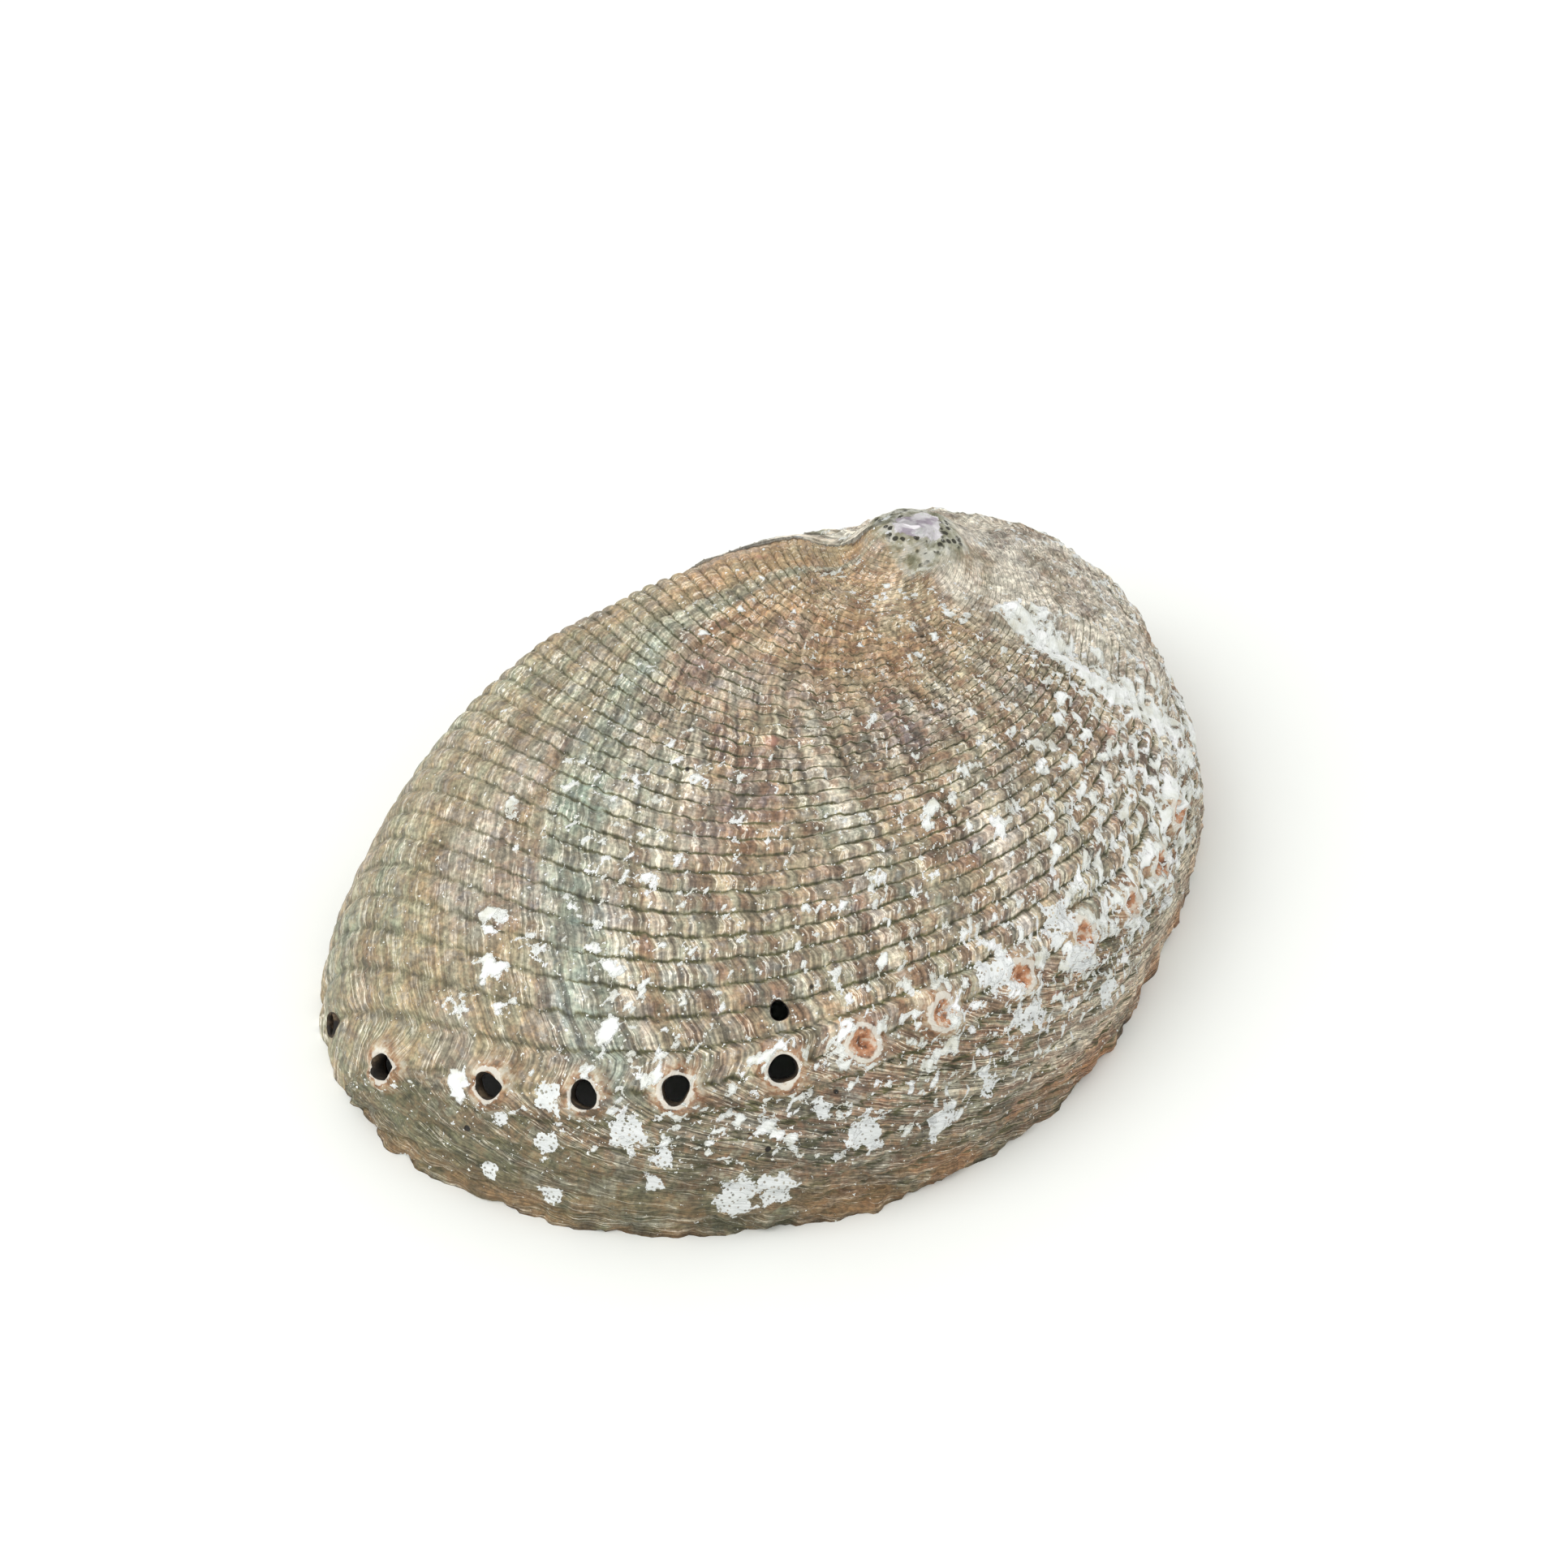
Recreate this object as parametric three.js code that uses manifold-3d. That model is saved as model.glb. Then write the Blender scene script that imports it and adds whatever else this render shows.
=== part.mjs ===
// An abalone shell: one ear-shaped bowl of shell, grown as a flat spiral that opens very fast.
// Millimetres, +Z up. The shell lies on its rim: the front (newest) end at -X, the spire near +X,
// the row of breathing holes along -Y. The origin is under the middle of its outline.
import * as THREE from 'three';
import Module from 'manifold-3d';
import { mergeVertices } from 'three/addons/utils/BufferGeometryUtils.js';

// --- driving dimensions ---
const DOME_HEIGHT = 26.65; // rim plane to the crown of the dome
const CROWN = new THREE.Vector2(7.4, 5.4); // highest point of the dome, seen from above
const DOME_FULLNESS = 2.53; // exponent of the dome's profile: higher is flatter on top
const WALL_STEEPNESS = 0.524; // exponent at the rim: lower is a steeper wall
const STEEPNESS_SWING = 0.134; // how much gentler the wall is at +Y than at -Y
const BACK = THREE.MathUtils.degToRad(76); // the straight side behind the spire, from the crown
const BACK_FULLNESS = 1.31; // how much fuller the dome is on that side
const BACK_STEEPNESS = 0.12; // how much steeper its wall is there

const APEX = new THREE.Vector2(21.2, 5); // the centre of the spiral
const SPIRE_HEIGHT = 2.9; // how far the old whorls stand out of the dome
const SPIRE_RADIUS = 5;
const SUTURE_DEPTH = 1.0; // the dip in front of the spire, where the last whorl leaves it
const SUTURE_RADIUS = 7.2;
const SUTURE_WIDTH = 2.5;
const SUTURE_TURN = THREE.MathUtils.degToRad(140);

const ROOF = 1.7; // thickness of the shell over the crown
const WALL = 1.3; // thickness of the side walls, down to their foot
const FOOT = 0.992; // the inner wall's foot, as a share of the way from crown to rim
const LIP_EDGE = 1.8; // width of the edge it rests on at the growing lip, +Y and -X
const SHELF = 5.5; // width of the inner shelf behind the holes, -Y and +X
const SHELF_THICKNESS = 1.1;
const SHELF_MIDDLE = THREE.MathUtils.degToRad(292); // its direction from the crown
const SHELF_HALF = THREE.MathUtils.degToRad(96); // how far it runs to each side of that
const SHELF_EASE = THREE.MathUtils.degToRad(26); // the part of it that tapers at each end

// The outline seen from above, counter-clockwise from the spire end.
const OUTLINE_POINTS = [
  [44.4, 0], [39.3, 12.9], [26, 19], [11.9, 24.1], [-3.1, 28.7], [-18.4, 30], [-35.1, 22],
  [-43.2, 10.8], [-44.2, -3.1], [-36.5, -19.4], [-19.7, -31.5], [0, -34.2], [16.9, -29.3],
  [33.7, -19.4],
];

// The spiral of the hole row: the log of its radius falls by OLD_RATE for each radian turned back
// from the front end, and by YOUNG_RATE in the part grown after SLOWDOWN.
const ROW_LOG_RADIUS = 6.028;
const OLD_RATE = 0.553;
const YOUNG_RATE = 0.152;
const SLOWDOWN = 3.47; // radians, measured at the apex
const SLOWDOWN_EASE = 0.105;

// Open breathing holes, by their direction from the apex in degrees; older ones have closed.
const OPEN_HOLES = [180.2, 189.5, 197.1, 204, 212.3];
const HOLE_LENGTH = 2.3; // along the row
const HOLE_WIDTH = 2.2; // across the row
const NEW_HOLE = 171; // the next hole, still a notch in the lip
const NOTCH_INSET = 0.55; // how far the middle of that notch lies inside the outline
const BORED_HOLE = new THREE.Vector2(-21.5, -20.8); // drilled through the old shell
const BORED_SIZE = 1.5;

// The newest growth line, by its direction from the apex: it starts at the hole row and swings
// forward as it crosses the whorl towards the spire. Older lines are the same line, turned back.
const LINE_MEAN = THREE.MathUtils.degToRad(148.5);
const LINE_SWING = THREE.MathUtils.degToRad(21.5);
const LINE_REACH = 2.05; // log distance inside the row at which the swing is complete

// The growth stop: a radial valley across the oldest part of the last whorl.
const STOP_TURN = THREE.MathUtils.degToRad(118); // how far back it lies from the newest line
const STOP_WIDTH = THREE.MathUtils.degToRad(7);
const STOP_DEPTH = 1.0;
const STOP_FADE = 6; // exponent: higher carries the valley nearer to the rim

const PROBE = 0.2; // step for measuring how the skin slopes

// --- mesh fineness ---
const COLUMNS = 84; // around the outline
const OUTER_ROWS = 22; // crown to rim, outside
const INNER_ROWS = 15; // rim to crown, inside
const OUTLINE_SAMPLES = 720;

const TAU = Math.PI * 2;

// The outline as a smooth closed curve, with its middle at the origin.
function outlineCurve() {
  const points = OUTLINE_POINTS.map(([x, y]) => new THREE.Vector3(x, y, 0));
  return new THREE.CatmullRomCurve3(points, true, 'catmullrom');
}

const outline = Array.from({ length: OUTLINE_SAMPLES }, (_, i) =>
  outlineCurve().getPoint(i / OUTLINE_SAMPLES),
);
const outlineBox = new THREE.Box3().setFromPoints(outline);
const MIDDLE = outlineBox.getCenter(new THREE.Vector3());

const wrap = (angle) => ((angle % TAU) + TAU) % TAU;

// The distance from a centre to the outline in each direction, by interpolation between samples.
function rimDistanceFrom(centre) {
  const rim = outline
    .map((p) => ({
      angle: wrap(Math.atan2(p.y - centre.y, p.x - centre.x)),
      distance: Math.hypot(p.x - centre.x, p.y - centre.y),
    }))
    .sort((a, b) => a.angle - b.angle);
  return (angle) => {
    const a = wrap(angle);
    const next = rim.findIndex((r) => r.angle > a);
    const high = rim[next < 0 ? 0 : next];
    const low = rim[(next > 0 ? next : rim.length) - 1];
    const span = wrap(high.angle - low.angle) || 1;
    return THREE.MathUtils.lerp(low.distance, high.distance, wrap(a - low.angle) / span);
  };
}

const rimFromCrown = rimDistanceFrom(CROWN);
const rimFromApex = rimDistanceFrom(APEX);

// Log of the hole row's distance from the apex, at an angle measured there.
function rowLogRadius(turn) {
  const young = Math.log1p(Math.exp((SLOWDOWN - turn) / SLOWDOWN_EASE));
  return ROW_LOG_RADIUS - OLD_RATE * turn - (OLD_RATE - YOUNG_RATE) * SLOWDOWN_EASE * young;
}

function rowPoint(degrees) {
  const turn = THREE.MathUtils.degToRad(degrees);
  const radius = Math.exp(rowLogRadius(turn));
  return new THREE.Vector2(APEX.x + radius * Math.cos(turn), APEX.y + radius * Math.sin(turn));
}

// Direction of the newest growth line. "cord" is the log distance outside the hole row.
function growthLine(cord) {
  return LINE_MEAN + LINE_SWING * Math.cos(Math.PI * THREE.MathUtils.clamp(-cord / LINE_REACH, 0, 1));
}

// How deep the growth stop presses the shell in at a point.
function growthStop(x, y) {
  const radius = Math.hypot(x - APEX.x, y - APEX.y);
  const turn = wrap(Math.atan2(y - APEX.y, x - APEX.x));
  const cord = Math.log(Math.max(radius, PROBE)) - rowLogRadius(turn);
  const back = turn - growthLine(cord) - STOP_TURN;
  const fade = THREE.MathUtils.smoothstep(radius, SPIRE_RADIUS, 3 * SPIRE_RADIUS);
  return STOP_DEPTH * fade * Math.exp(-((back / STOP_WIDTH) ** 2));
}

// The dome: q is 0 at the crown and 1 at the rim, along the direction "angle" from the crown.
function domeHeight(q, angle) {
  const back = Math.max(Math.cos(angle - BACK), 0) ** 2;
  const fullness = DOME_FULLNESS + BACK_FULLNESS * back;
  const steepness = WALL_STEEPNESS + STEEPNESS_SWING * Math.sin(angle) - BACK_STEEPNESS * back;
  return (1 - Math.min(q, 1) ** fullness) ** steepness;
}

function spireBump(x, y) {
  const radius = Math.hypot(x - APEX.x, y - APEX.y);
  const facing = Math.max(Math.cos(Math.atan2(y - APEX.y, x - APEX.x) - SUTURE_TURN), 0);
  const dip = SUTURE_DEPTH * facing * Math.exp(-(((radius - SUTURE_RADIUS) / SUTURE_WIDTH) ** 2));
  return SPIRE_HEIGHT * Math.exp(-((radius / SPIRE_RADIUS) ** 4)) - dip;
}

const rimDirection = (column) => (TAU * column) / COLUMNS;

// A point of the outer skin.
function outerPoint(column, q) {
  const angle = rimDirection(column);
  const reach = rimFromCrown(angle) * q;
  const x = CROWN.x + reach * Math.cos(angle);
  const y = CROWN.y + reach * Math.sin(angle);
  const height = DOME_HEIGHT * domeHeight(q, angle);
  const relief = spireBump(x, y) - growthStop(x, y) * (1 - q ** STOP_FADE);
  return new THREE.Vector3(x, y, q < 1 ? Math.max(0, height + relief) : 0);
}

// Width of the flat edge the shell rests on: narrow at the lip, widening to the inner shelf.
function edgeWidth(angle) {
  const away = Math.abs(wrap(angle - SHELF_MIDDLE + Math.PI) - Math.PI);
  const taper = THREE.MathUtils.smoothstep(away, SHELF_HALF - SHELF_EASE, SHELF_HALF);
  return THREE.MathUtils.lerp(SHELF, LIP_EDGE, taper);
}

// A point of the inner skin: the same dome, set in from the wall and down from the roof.
function innerPoint(column, q) {
  const angle = rimDirection(column);
  const reach = (rimFromCrown(angle) - WALL) * q;
  const x = CROWN.x + reach * Math.cos(angle);
  const y = CROWN.y + reach * Math.sin(angle);
  const roof = DOME_HEIGHT - ROOF;
  return new THREE.Vector3(x, y, roof * domeHeight(q, angle) - growthStop(x, y) * (1 - q ** STOP_FADE));
}

// A point of the inner edge of the shelf, at a height above the rim plane.
function shelfPoint(column, height) {
  const angle = rimDirection(column);
  const reach = rimFromCrown(angle) - edgeWidth(angle);
  return new THREE.Vector3(
    CROWN.x + reach * Math.cos(angle),
    CROWN.y + reach * Math.sin(angle),
    height,
  );
}

// The closed skin: outside from the crown to the rim, across the flat edge to the shelf, and
// back up inside.
function shellGeometry() {
  const rings = [];
  for (let row = 1; row <= OUTER_ROWS; row++) {
    rings.push({ point: outerPoint, at: Math.sin((row / OUTER_ROWS) * (Math.PI / 2)) });
  }
  rings.push({ point: shelfPoint, at: 0 }, { point: shelfPoint, at: SHELF_THICKNESS });
  for (let row = INNER_ROWS; row >= 1; row--) {
    rings.push({ point: innerPoint, at: FOOT * Math.sin((row / INNER_ROWS) * (Math.PI / 2)) });
  }
  const vertices = [outerPoint(0, 0)];
  for (const ring of rings) {
    for (let column = 0; column < COLUMNS; column++) vertices.push(ring.point(column, ring.at));
  }
  vertices.push(innerPoint(0, 0));
  const last = vertices.length - 1;
  const index = (ring, column) => 1 + ring * COLUMNS + (column % COLUMNS);
  const faces = [];
  for (let column = 0; column < COLUMNS; column++) {
    faces.push(0, index(0, column), index(0, column + 1));
    for (let ring = 0; ring < rings.length - 1; ring++) {
      faces.push(index(ring, column), index(ring + 1, column), index(ring + 1, column + 1));
      faces.push(index(ring, column), index(ring + 1, column + 1), index(ring, column + 1));
    }
    faces.push(last, index(rings.length - 1, column + 1), index(rings.length - 1, column));
  }
  const geometry = new THREE.BufferGeometry();
  const flat = vertices.flatMap((v) => [v.x - MIDDLE.x, v.y - MIDDLE.y, v.z]);
  geometry.setAttribute('position', new THREE.Float32BufferAttribute(flat, 3));
  geometry.setIndex(faces);
  return geometry;
}

// --- holes ---
const CUTTER_SIDES = 14;
const CUTTER_LENGTH = 9;

// The outer skin's height over a point in the plan.
function skinHeight(x, y) {
  const angle = Math.atan2(y - CROWN.y, x - CROWN.x);
  const q = Math.hypot(x - CROWN.x, y - CROWN.y) / rimFromCrown(angle);
  return DOME_HEIGHT * domeHeight(q, angle);
}

// An oval pin through the wall at a point, square to the skin, its long axis along the row.
function holeCutter(place, length, width) {
  const { x, y } = place;
  const slopeX = (skinHeight(x + PROBE, y) - skinHeight(x - PROBE, y)) / (2 * PROBE);
  const slopeY = (skinHeight(x, y + PROBE) - skinHeight(x, y - PROBE)) / (2 * PROBE);
  const out = new THREE.Vector3(-slopeX, -slopeY, 1).normalize();
  const row = new THREE.Vector3(y - APEX.y, APEX.x - x, 0);
  row.addScaledVector(out, -row.dot(out)).normalize();
  const across = new THREE.Vector3().crossVectors(out, row);
  const pin = new THREE.CylinderGeometry(0.5, 0.5, CUTTER_LENGTH, CUTTER_SIDES);
  pin.scale(width, 1, length);
  pin.applyMatrix4(new THREE.Matrix4().makeBasis(across, out, row));
  pin.translate(x - MIDDLE.x, y - MIDDLE.y, skinHeight(x, y));
  return pin;
}

function cutters() {
  const pins = OPEN_HOLES.map((degrees) => holeCutter(rowPoint(degrees), HOLE_LENGTH, HOLE_WIDTH));
  pins.push(holeCutter(BORED_HOLE, BORED_SIZE, BORED_SIZE));
  const direction = THREE.MathUtils.degToRad(NEW_HOLE);
  const notch = new THREE.Vector2(Math.cos(direction), Math.sin(direction));
  notch.multiplyScalar(rimFromApex(direction) - NOTCH_INSET).add(APEX);
  pins.push(holeCutter(notch, HOLE_WIDTH, HOLE_WIDTH));
  return pins;
}

// --- solids ---
const WELD = 1e-4; // corners nearer than this are one
const WEATHERED = new THREE.Color(0.36, 0.31, 0.23);

const wasm = await Module();
wasm.setup();

function solidOf(geometry) {
  const bare = geometry.clone();
  bare.deleteAttribute('normal');
  bare.deleteAttribute('uv');
  const merged = mergeVertices(bare, WELD);
  return new wasm.Manifold(
    new wasm.Mesh({
      numProp: 3,
      vertProperties: merged.attributes.position.array,
      triVerts: new Uint32Array(merged.index.array),
    }),
  );
}

function geometryOf(solid) {
  const { vertProperties, triVerts } = solid.getMesh();
  const geometry = new THREE.BufferGeometry();
  geometry.setAttribute('position', new THREE.Float32BufferAttribute(vertProperties, 3));
  geometry.setIndex([...triVerts]);
  geometry.computeVertexNormals();
  return geometry;
}

function abaloneShell() {
  let solid = solidOf(shellGeometry());
  for (const pin of cutters()) solid = solid.subtract(solidOf(pin));
  const material = new THREE.MeshStandardMaterial({
    color: WEATHERED,
    roughness: 0.75,
    metalness: 0,
    side: THREE.DoubleSide,
  });
  const mesh = new THREE.Mesh(geometryOf(solid), material);
  mesh.name = 'abalone_shell';
  return mesh;
}

const part = new THREE.Group();
part.add(abaloneShell());

export default part;
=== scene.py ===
import math

import bpy
import numpy as np
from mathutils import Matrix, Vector


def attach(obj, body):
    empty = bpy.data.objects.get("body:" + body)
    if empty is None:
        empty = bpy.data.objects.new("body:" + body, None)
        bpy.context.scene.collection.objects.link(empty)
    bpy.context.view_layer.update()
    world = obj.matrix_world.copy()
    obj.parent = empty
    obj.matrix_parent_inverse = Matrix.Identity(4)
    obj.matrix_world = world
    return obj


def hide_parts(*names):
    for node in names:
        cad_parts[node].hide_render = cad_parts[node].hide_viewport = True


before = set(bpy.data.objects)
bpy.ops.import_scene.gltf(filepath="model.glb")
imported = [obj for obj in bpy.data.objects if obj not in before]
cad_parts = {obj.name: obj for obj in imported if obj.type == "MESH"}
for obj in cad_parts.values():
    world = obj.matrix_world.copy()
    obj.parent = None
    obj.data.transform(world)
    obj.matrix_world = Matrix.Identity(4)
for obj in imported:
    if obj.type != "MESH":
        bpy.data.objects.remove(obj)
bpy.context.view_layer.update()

# ---- camera ----
# It looks down on the shell's row of holes from the front left, at half a right angle.
CAMERA_PLACE = (-0.23965, -0.23781, 0.35355)
CAMERA_AIM = (0.01025, 0.01229, 0.0)
FILM_WIDTH = 36.0
LENS = 127.08

camera_data = bpy.data.cameras.new("camera")
camera_data.sensor_width = FILM_WIDTH
camera_data.lens = LENS
camera = bpy.data.objects.new("camera", camera_data)
camera.location = CAMERA_PLACE
camera.rotation_mode = "QUATERNION"
camera.rotation_quaternion = (Vector(CAMERA_AIM) - Vector(CAMERA_PLACE)).to_track_quat("-Z", "Y")
bpy.context.scene.collection.objects.link(camera)
bpy.context.scene.camera = camera

# ---- the coil ----
# The shell is one sheet of lime, wound as a flat spiral that opens very fast. The animal adds a
# thin line of new shell along the lip again and again, so every mark on it is either along the
# coil (the cords) or along an old lip (the growth lines). Lengths here are in millimetres.
OUTLINE = [
    (44.4, 0), (39.3, 12.9), (26, 19), (11.9, 24.1), (-3.1, 28.7), (-18.4, 30), (-35.1, 22),
    (-43.2, 10.8), (-44.2, -3.1), (-36.5, -19.4), (-19.7, -31.5), (0, -34.2), (16.9, -29.3),
    (33.7, -19.4),
]
OUTLINE_SAMPLES = 1440
CROWN = np.array([7.4, 5.4])
APEX = np.array([21.2, 5.0])
DOME_HEIGHT = 26.65
DOME_FULLNESS = 2.53
WALL_STEEPNESS = 0.524
STEEPNESS_SWING = 0.134
BACK_SIDE = math.radians(76)
BACK_FULLNESS = 1.31
BACK_STEEPNESS = 0.12
SPIRE_HEIGHT = 2.9
SPIRE_RADIUS = 5.0
SUTURE_DEPTH = 1.0
SUTURE_RADIUS = 7.2
SUTURE_WIDTH = 2.5
SUTURE_TURN = math.radians(140)
ROW_LOG_RADIUS = 6.028
OLD_RATE = 0.553
YOUNG_RATE = 0.152
SLOWDOWN = 3.47
SLOWDOWN_EASE = 0.105
LINE_MEAN = 148.5
LINE_SWING = 21.5
LINE_REACH = 2.05
LIP_START = 127.0
LIP_END = 171.0
LIP_STEPS = 90
LIP_BLEND = 75.0
SEAM_SWAY = math.radians(2.6)
SEAM_WAVE = 2.3
ROW_SPARE = 8
ROW_STEPS = 1500
STOP_TURN = 118.0
STOP_WIDTH = 7.0
STOP_DEPTH = 1.0


def closed_curve(points, count):
    """A smooth closed curve through the points, evenly shared between them."""
    knots = np.array(points, float)
    place = np.linspace(0, len(knots), count, endpoint=False)
    first = np.floor(place).astype(int)
    t = (place - first)[:, None]
    a, b, c, d = (knots[(first + k) % len(knots)] for k in (-1, 0, 1, 2))
    bend = (2 * a - 5 * b + 4 * c - d) * t**2 + (3 * b - a - 3 * c + d) * t**3
    return 0.5 * (2 * b + (c - a) * t + bend)


outline = closed_curve(OUTLINE, OUTLINE_SAMPLES)
MIDDLE = (outline.min(0) + outline.max(0)) / 2


def rim_reach(centre):
    """The distance from a centre to the outline, as a function of direction."""
    arm = outline - centre
    turn = np.unwrap(np.arctan2(arm[:, 1], arm[:, 0]))
    reach = np.hypot(arm[:, 0], arm[:, 1])
    return lambda angle: np.interp(angle, turn, reach, period=math.tau)


rim_from_crown = rim_reach(CROWN)
rim_from_apex = rim_reach(APEX)


def smooth(value, low, high):
    """0 below low, 1 above high, and an S between."""
    t = np.clip((value - low) / (high - low), 0, 1)
    return t * t * (3 - 2 * t)


def bell(value, middle, width):
    return np.exp(-(((value - middle) / width) ** 2))


def row_log_radius(turn):
    """Log of the hole row's distance from the apex, at an angle measured there."""
    young = np.log1p(np.exp((SLOWDOWN - turn) / SLOWDOWN_EASE))
    return ROW_LOG_RADIUS - OLD_RATE * turn - (OLD_RATE - YOUNG_RATE) * SLOWDOWN_EASE * young


def dome_shape(angle):
    """Fullness and steepness of the dome's profile in a direction from the crown."""
    back = np.maximum(np.cos(angle - BACK_SIDE), 0) ** 2
    fullness = DOME_FULLNESS + BACK_FULLNESS * back
    steepness = WALL_STEEPNESS + STEEPNESS_SWING * np.sin(angle) - BACK_STEEPNESS * back
    return fullness, steepness


def dome(q, angle):
    fullness, steepness = dome_shape(angle)
    return (1 - np.minimum(q, 1) ** fullness) ** steepness


def polar(x, y, centre):
    return np.hypot(x - centre[0], y - centre[1]), np.arctan2(y - centre[1], x - centre[0])


def skin_height(x, y):
    reach, angle = polar(x, y, CROWN)
    return DOME_HEIGHT * dome(reach / rim_from_crown(angle), angle)


lip_turns = np.radians(np.linspace(LIP_START, LIP_END, LIP_STEPS))
lip_rows = np.log(rim_from_apex(lip_turns)) - row_log_radius(lip_turns)
row_turns = np.radians(np.linspace(LIP_START - ROW_SPARE, LIP_START + 370, ROW_STEPS))
row_radii = np.exp(row_log_radius(row_turns))
row_places = APEX + row_radii[:, None] * np.stack([np.cos(row_turns), np.sin(row_turns)], 1)
row_heights = skin_height(*row_places.T)
row_lengths = np.cumsum(row_radii) * (row_turns[1] - row_turns[0]) * math.hypot(1, OLD_RATE)
row_lengths -= np.interp(math.radians(LIP_END), row_turns, row_lengths)

CORD_STEPS = [(-4.0, 0.07), (-1.4, 0.07), (-0.9, 0.045), (0.0, 0.043)]  # log distance, spacing
WALL_CORD_SPACING = 2.6  # at the youngest part of the wall; it shrinks as the coil does
LEAST_WALL_SPACING = 1.3
YOUNG_ROW_RADIUS = 60
WALL_CORD_CROWDING = 1.15
LEAST_RIDGE = 2.0
WALL_SWEEP = 45  # how far back the growth lines run down the wall, in mm
SWEEP_FADE = (330, 440)
TINY = 1e-6
cord_rows = np.linspace(CORD_STEPS[0][0], 0, 800)
cord_counts = np.cumsum(1 / np.interp(cord_rows, *zip(*CORD_STEPS))) * (cord_rows[1] - cord_rows[0])
cord_counts = cord_counts[-1] - cord_counts


def old_lip_turn(row):
    """The direction of an old lip from the apex, at a log distance outside the hole row."""
    return LINE_MEAN + LINE_SWING * np.cos(math.pi * np.clip(-row / LINE_REACH, 0, 1))


def wall_cords(turn, below, ridge):
    """Cords counted down the wall from the hole row."""
    crowding = (np.interp(turn, row_turns, row_radii) / YOUNG_ROW_RADIUS) ** 0.6
    return WALL_CORD_CROWDING * below * ridge / np.maximum(WALL_CORD_SPACING * crowding, LEAST_WALL_SPACING)


def growth_marks(x, y, z):
    """Where a point of the skin lies in the coil.

    row: log distance outside the hole row; cord: cords counted inwards from it; growth: the age
    of its growth line, in millimetres along the hole row; below: share of the way down the wall.
    """
    radius, turn = polar(x, y, APEX)
    sway = np.sin(radius / SEAM_WAVE) + 0.6 * np.sin(radius)
    start = math.radians(LIP_START) + SEAM_SWAY * sway
    turn = np.mod(turn - start, math.tau) + start
    row = np.log(radius + TINY) - row_log_radius(turn)
    inside = np.minimum(row, 0)
    lip = np.degrees(np.interp(inside, lip_rows, lip_turns))
    lag = np.maximum(old_lip_turn(inside) - lip, 0)
    back = np.maximum(np.degrees(turn) - lip, 0)
    age = np.where(back < LIP_BLEND + lag, back * LIP_BLEND / (LIP_BLEND + lag), back - lag)
    growth = np.interp(np.radians(LIP_END + age), row_turns, row_lengths)
    ridge = np.maximum(np.interp(turn, row_turns, row_heights), LEAST_RIDGE)
    below = np.where(row > 0, np.clip(1 - z / ridge, 0, 1), 0)
    own = np.interp(turn, row_turns, row_lengths)
    swept = WALL_SWEEP * (1 - smooth(np.degrees(turn), *SWEEP_FADE))
    growth = growth - np.minimum(np.maximum(own, 0), swept) * below**1.2
    cord = np.interp(inside, cord_rows, cord_counts) - wall_cords(turn, below, ridge)
    seam = np.degrees(np.minimum(turn - start, start + math.tau - turn))
    return {"row": row, "cord": cord, "growth": growth, "below": below, "age": age,
            "radius": radius, "turn": turn, "seam": seam}


# ---- the sheet of shell ----
# The whole shell as one closed skin: ribbed outside, down to the rim it rests on, across the flat
# edge and the broad inner shelf, and up the pearly inside.
ROOF = 1.7
WALL = 1.3
FOOT = 0.992
LIP_EDGE = 1.8
SHELF = 5.5
SHELF_THICKNESS = 1.1
EDGE_STEPS = ((0.75, 0), (0.93, 0), (1, 0.08), (1, 0.8))  # share of the edge's width, height
SHELF_ROUNDING = 0.93
SHELF_START = math.radians(196)
SHELF_END = math.radians(388)
SHELF_EASE = math.radians(26)
RIM_COLUMNS = 720
INNER_COLUMNS = 240
OUTER_ROWS = 132
INNER_ROWS = 42
MM = 0.001
SKIN, PEARL, EDGE, BORE = range(4)


def growth_stop(x, y):
    """How deep the pause in growth presses the shell in."""
    marks = growth_marks(x, y, skin_height(x, y))
    back = np.degrees(marks["turn"]) - old_lip_turn(marks["row"]) - STOP_TURN
    off_spire = smooth(marks["radius"], SPIRE_RADIUS, 3 * SPIRE_RADIUS)
    return STOP_DEPTH * off_spire * bell(back, 0, STOP_WIDTH)


def spire_bump(x, y):
    """The old whorls' knob, and the dip in front of it."""
    radius, turn = polar(x, y, APEX)
    facing = np.maximum(np.cos(turn - SUTURE_TURN), 0)
    dip = SUTURE_DEPTH * facing * bell(radius, SUTURE_RADIUS, SUTURE_WIDTH)
    return SPIRE_HEIGHT * np.exp(-((radius / SPIRE_RADIUS) ** 4)) - dip


def ring_directions(columns):
    return math.tau * np.arange(columns) / columns


def outer_ring(columns, q):
    angle = ring_directions(columns)
    x, y = CROWN[:, None] + rim_from_crown(angle) * q * np.stack([np.cos(angle), np.sin(angle)])
    relief = (spire_bump(x, y) - growth_stop(x, y) * (1 - q**6)) * (q < 1)
    return np.stack([x, y, np.maximum(DOME_HEIGHT * dome(q, angle) + relief, 0)], 1)


def inner_ring(columns, q):
    angle = ring_directions(columns)
    reach = (rim_from_crown(angle) - WALL) * q
    x, y = CROWN[:, None] + reach * np.stack([np.cos(angle), np.sin(angle)])
    height = (DOME_HEIGHT - ROOF) * dome(q, angle) - growth_stop(x, y) * (1 - q**6)
    return np.stack([x, y, height], 1)


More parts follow.
